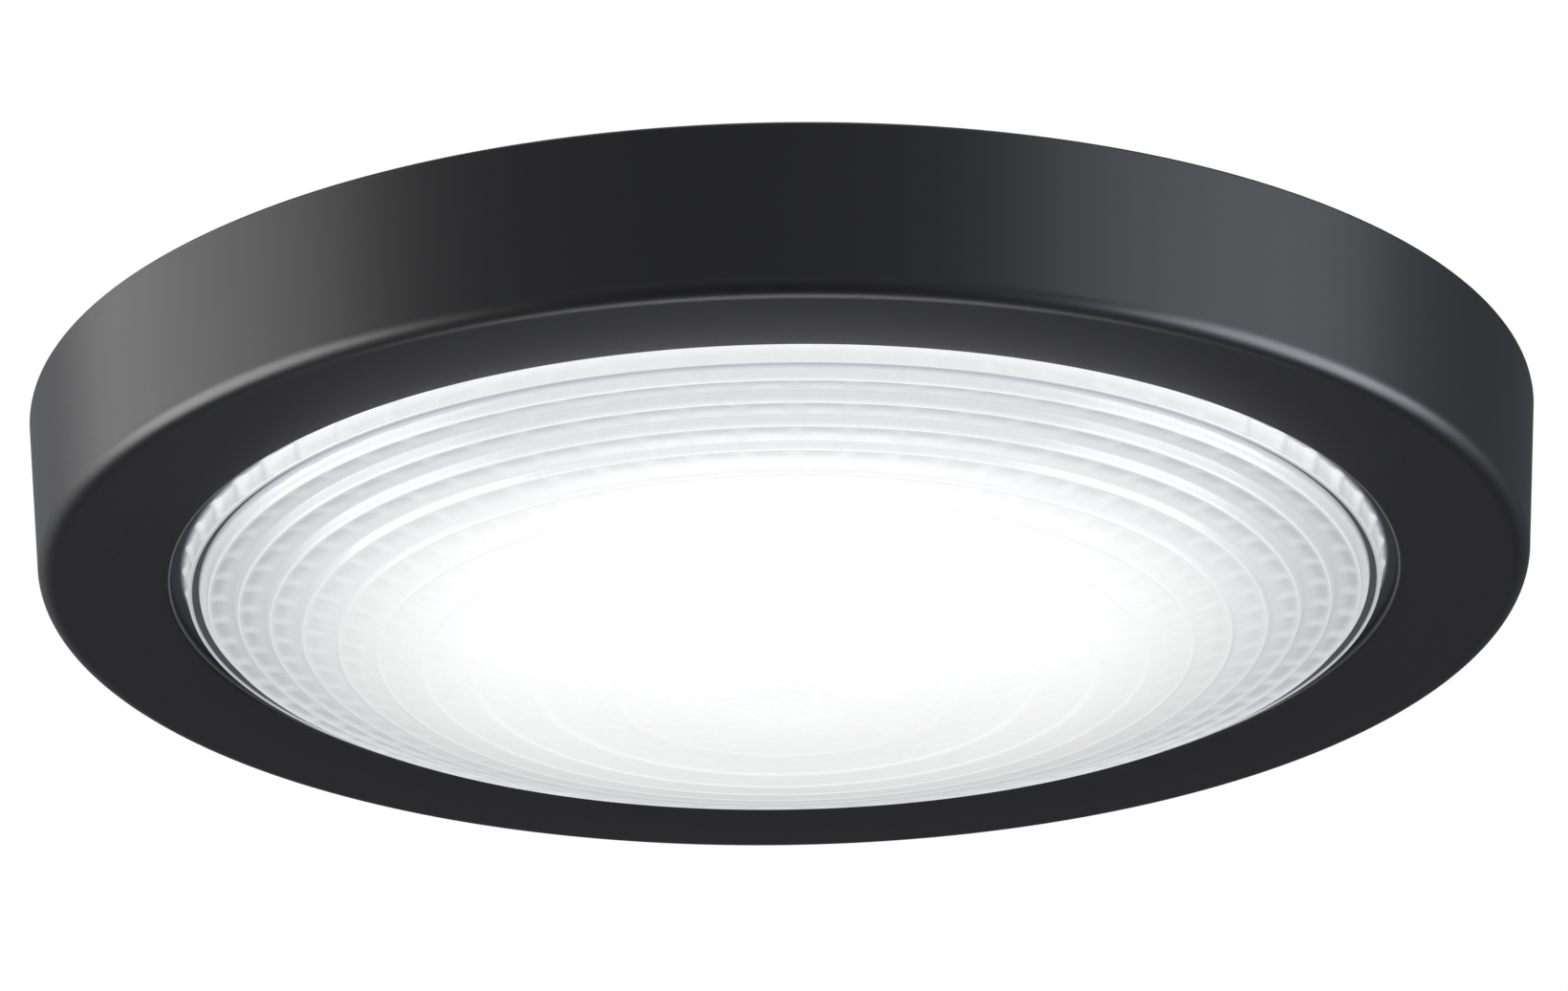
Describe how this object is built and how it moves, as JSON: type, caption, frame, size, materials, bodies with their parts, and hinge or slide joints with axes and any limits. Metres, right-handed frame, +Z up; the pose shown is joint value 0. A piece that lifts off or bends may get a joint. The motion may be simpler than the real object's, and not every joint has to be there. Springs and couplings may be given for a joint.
{
  "type": "ceiling fan light kit",
  "caption": "Drum-shaped ceiling fan light kit: a pan that screws to the fan's hub, an LED driver and light engine, and a twist-on black trim housing with a ringed glass lens.",
  "frame": {"origin": "centre of the fitter pan's hub face, which meets the fan's hub", "axes": "+Z up into the fan along the light's own axis, and the light shines along -Z; +Y goes from the axis to the side where the LED driver hangs under the pan"},
  "size_m": [0.304, 0.304, 0.0618],
  "materials": {
    "trim_black": "satin black paint",
    "pan_black": "matt black paint",
    "lens_glass": "pressed glass, stepped in rings",
    "silicone": "matt",
    "black_rubber": "matt",
    "zinc_steel": "zinc plated",
    "green_steel": "green passivated",
    "aluminium": "mill finish",
    "thermal_pad": "matt",
    "white_board": "white solder mask on an aluminium board",
    "white_paint": "matt white paint",
    "opal_acrylic": "opal",
    "white_plastic": "moulded",
    "green_laminate": "glass-fibre laminate",
    "ferrite": "matt",
    "dark_sleeve": "shrink sleeve",
    "red_insulation": "extruded",
    "black_insulation": "extruded"
  },
  "bodies": {
    "fixed_pan": {"fitter_pan": "pan_black", "wire_grommet": "black_rubber", "earth_screw": "green_steel", "earth_washer": "zinc_steel", "driver_lid": "zinc_steel", "driver_case": "white_plastic", "driver_board": "green_laminate", "transformer": "ferrite", "choke": "ferrite", "bulk_capacitor": "dark_sleeve", "output_capacitor": "dark_sleeve", "input_terminal": "white_plastic", "output_terminal": "white_plastic", "driver_screw_1": "zinc_steel", "driver_screw_2": "zinc_steel", "standoff_1": "aluminium", "standoff_2": "aluminium", "standoff_3": "aluminium", "heat_plate": "aluminium", "thermal_pad": "thermal_pad", "led_board": "white_board", "board_connector": "white_plastic", "board_screw_1": "zinc_steel", "board_screw_2": "zinc_steel", "board_screw_3": "zinc_steel", "board_screw_4": "zinc_steel", "plate_screw_1": "zinc_steel", "plate_screw_2": "zinc_steel", "plate_screw_3": "zinc_steel", "red_lead": "red_insulation", "black_lead": "black_insulation", "reflector": "white_paint", "diffuser": "opal_acrylic"},
    "trim_assembly": {"trim_housing": "trim_black", "lens": "lens_glass", "lens_gasket": "silicone", "clip_screw_1": "zinc_steel", "clip_screw_2": "zinc_steel", "clip_screw_3": "zinc_steel"},
    "clip_arm_1": {"lens_clip_1": "zinc_steel"},
    "clip_arm_2": {"lens_clip_2": "zinc_steel"},
    "clip_arm_3": {"lens_clip_3": "zinc_steel"}
  },
  "joints": [
    {"name": "trim_twist", "type": "hinge", "parent": "fixed_pan", "child": "trim_assembly", "pos_m": [0, 0, 0], "axis": [0, 0, -1], "range_deg": [0, 15]},
    {"name": "clip_swivel_1", "type": "hinge", "parent": "trim_assembly", "child": "clip_arm_1", "pos_m": [0, 0.14043, -0.0299], "axis": [0, 0, 1], "range_deg": [-90, 90]},
    {"name": "clip_swivel_2", "type": "hinge", "parent": "trim_assembly", "child": "clip_arm_2", "pos_m": [-0.12162, -0.07022, -0.0299], "axis": [0, 0, 1], "range_deg": [-90, 90]},
    {"name": "clip_swivel_3", "type": "hinge", "parent": "trim_assembly", "child": "clip_arm_3", "pos_m": [0.12162, -0.07022, -0.0299], "axis": [0, 0, 1], "range_deg": [-90, 90]}
  ]
}
